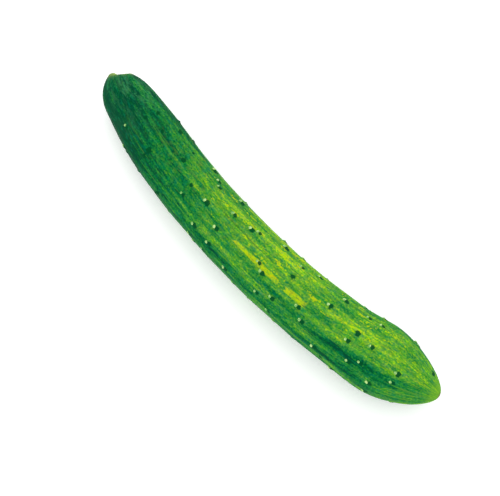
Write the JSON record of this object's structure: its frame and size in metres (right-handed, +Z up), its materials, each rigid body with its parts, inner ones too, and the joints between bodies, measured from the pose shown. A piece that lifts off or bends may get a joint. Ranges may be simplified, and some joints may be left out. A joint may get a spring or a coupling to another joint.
{
  "type": "cucumber",
  "caption": "Whole fresh cucumber, long and slender with a gentle sideways bow and small blunt warts, lying on its side.",
  "frame": {"origin": "middle of the underside of the fruit's box, on the level surface that it lies on", "axes": "+X along the fruit towards the blossom end, +Z up, and the fruit bows towards -Y"},
  "size_m": [0.2108, 0.0396, 0.0326],
  "materials": {
    "cucumber_skin": "satin"
  },
  "bodies": {
    "root": {"cucumber": "cucumber_skin"}
  },
  "joints": []
}
